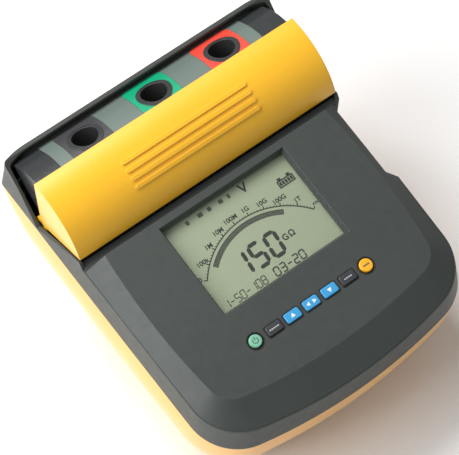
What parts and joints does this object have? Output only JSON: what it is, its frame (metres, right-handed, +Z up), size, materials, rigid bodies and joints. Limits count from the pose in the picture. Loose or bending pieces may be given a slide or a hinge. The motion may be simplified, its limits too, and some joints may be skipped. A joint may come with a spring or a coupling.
{
  "type": "insulation resistance tester",
  "caption": "Bench insulation resistance tester: sloping dark cover with display and key row, yellow tub, rolling yellow hood over a drum of test sockets.",
  "frame": {"origin": "on the resting surface, under the middle of the instrument's bounding box", "axes": "+Z up, +Y towards the terminals at the rear, +X to the right of a user who faces the display"},
  "size_m": [0.2364, 0.2672, 0.1701],
  "materials": {
    "tub_yellow": "smooth moulded yellow, satin",
    "skirt_grey": "fine-grained light grey",
    "cover_grey": "fine-grained dark grey",
    "hood_yellow": "smooth moulded yellow, satin",
    "drum_grey": "polished dark grey",
    "plate_grey": "matt grey-green",
    "ring_black": "satin black",
    "ring_green": "satin green",
    "ring_red": "satin red",
    "socket_grey": "dark grey moulded",
    "brass": "turned",
    "window": "clear, polished",
    "lcd": "grey-green reflective display",
    "frame_steel": "tinned, bent sheet",
    "light_guide": "white, milky",
    "circuit_board": "green solder mask",
    "rubber": "black, matt",
    "keypad_rubber": "grey silicone",
    "bezel_black": "satin black",
    "key_mint": "mint green, satin",
    "key_grey": "dark grey, satin",
    "key_blue": "light blue, satin",
    "key_orange": "orange yellow, satin",
    "battery_case": "black, ribbed",
    "strap_steel": "zinc plated",
    "core_steel": "stacked plates, varnished",
    "resin": "potted, blue-black",
    "screw_steel": "zinc plated",
    "pin_steel": "ground and plated",
    "inlet_black": "moulded black",
    "contact_nickel": "nickel plated",
    "seal_rubber": "soft black cord",
    "cable_grey": "flat grey cable"
  },
  "bodies": {
    "instrument": {"base_shell": "tub_yellow", "rubber_feet": "rubber", "case_seal": "seal_rubber", "case_screws": "screw_steel", "upper_case": "skirt_grey", "front_panel": "cover_grey", "lcd_window": "window", "lcd_cell": "lcd", "lcd_frame": "frame_steel", "backlight": "light_guide", "display_board": "circuit_board", "display_screws": "screw_steel", "rubber_keypad": "keypad_rubber", "button_bezels": "bezel_black", "hood_pins": "pin_steel", "hood_washers": "pin_steel", "terminal_drum": "drum_grey", "terminal_plate": "plate_grey", "black_surround": "ring_black", "green_surround": "ring_green", "red_surround": "ring_red", "black_terminal": "socket_grey", "green_terminal": "socket_grey", "red_terminal": "socket_grey", "terminal_contacts": "brass", "mains_inlet": "inlet_black", "inlet_pins": "contact_nickel", "battery": "battery_case", "battery_strap": "strap_steel", "transformer": "core_steel", "main_board": "circuit_board", "main_board_screws": "screw_steel", "high_voltage_module": "resin", "buzzer": "bezel_black", "ribbon_cable": "cable_grey"},
    "hood": {"hood": "hood_yellow"},
    "power_button": {"power_button": "key_mint"},
    "function_button": {"function_button": "key_grey"},
    "up_button": {"up_button": "key_blue"},
    "left_right_button": {"left_right_button": "key_blue"},
    "down_button": {"down_button": "key_blue"},
    "store_button": {"store_button": "key_grey"},
    "test_button": {"test_button": "key_orange"}
  },
  "joints": [
    {"name": "hood_roll", "type": "hinge", "parent": "instrument", "child": "hood", "pos_m": [0, 0.08742, 0.12015], "axis": [-1, 0, 0], "range_deg": [0, 36]},
    {"name": "power_press", "type": "slide", "parent": "instrument", "child": "power_button", "axis": [0, 0.1771, -0.9842], "range_m": [0, 0.0012], "stiffness_N_per_m": 1200, "springref_m": -0.0003},
    {"name": "function_press", "type": "slide", "parent": "instrument", "child": "function_button", "axis": [0, 0.1771, -0.9842], "range_m": [0, 0.0012], "stiffness_N_per_m": 1200, "springref_m": -0.0003},
    {"name": "up_press", "type": "slide", "parent": "instrument", "child": "up_button", "axis": [0, 0.1771, -0.9842], "range_m": [0, 0.0012], "stiffness_N_per_m": 1200, "springref_m": -0.0003},
    {"name": "left_right_press", "type": "slide", "parent": "instrument", "child": "left_right_button", "axis": [0, 0.1771, -0.9842], "range_m": [0, 0.0012], "stiffness_N_per_m": 1200, "springref_m": -0.0003},
    {"name": "down_press", "type": "slide", "parent": "instrument", "child": "down_button", "axis": [0, 0.1771, -0.9842], "range_m": [0, 0.0012], "stiffness_N_per_m": 1200, "springref_m": -0.0003},
    {"name": "store_press", "type": "slide", "parent": "instrument", "child": "store_button", "axis": [0, 0.1771, -0.9842], "range_m": [0, 0.0012], "stiffness_N_per_m": 1200, "springref_m": -0.0003},
    {"name": "test_press", "type": "slide", "parent": "instrument", "child": "test_button", "axis": [0, 0.1771, -0.9842], "range_m": [0, 0.0012], "stiffness_N_per_m": 1200, "springref_m": -0.0003}
  ]
}
